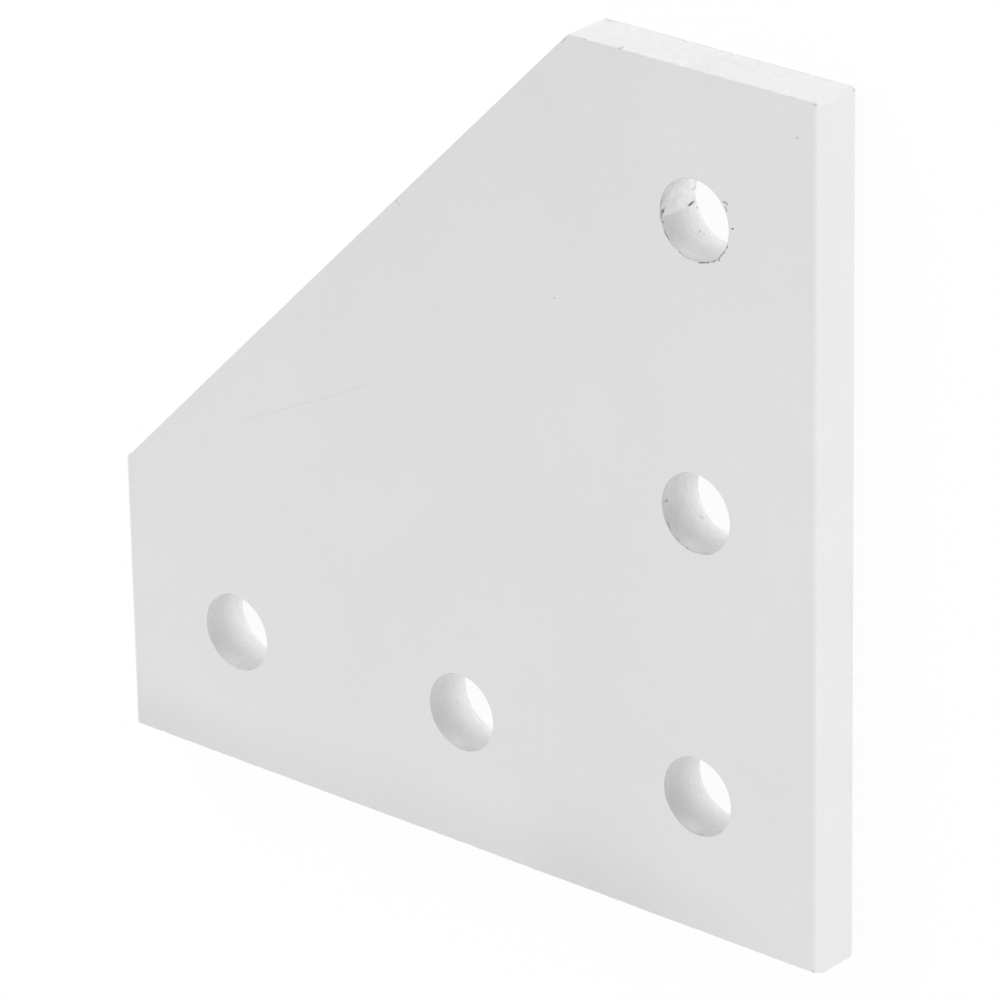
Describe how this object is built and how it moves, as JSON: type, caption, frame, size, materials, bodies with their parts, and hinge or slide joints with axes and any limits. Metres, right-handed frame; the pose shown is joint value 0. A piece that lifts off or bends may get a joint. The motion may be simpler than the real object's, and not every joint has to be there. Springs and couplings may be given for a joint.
{
  "type": "extrusion joining plate",
  "caption": "Flat corner plate with a clipped corner and bolt holes along two square legs, for joining slotted aluminium extrusions at a right angle.",
  "frame": {"origin": "on the axis of the corner hole, in the flat face that bears on the rails", "axes": "+Z out of the plate along the bolt holes, towards the bolt heads; +Y along the side leg, which is also the way the bar was extruded; -X along the cross leg"},
  "size_m": [0.06, 0.0597, 0.0038],
  "materials": {
    "plate": "satin, clear anodised over extruded bar, with sawn ends"
  },
  "bodies": {
    "root": {"joining_plate": "plate"}
  },
  "joints": []
}
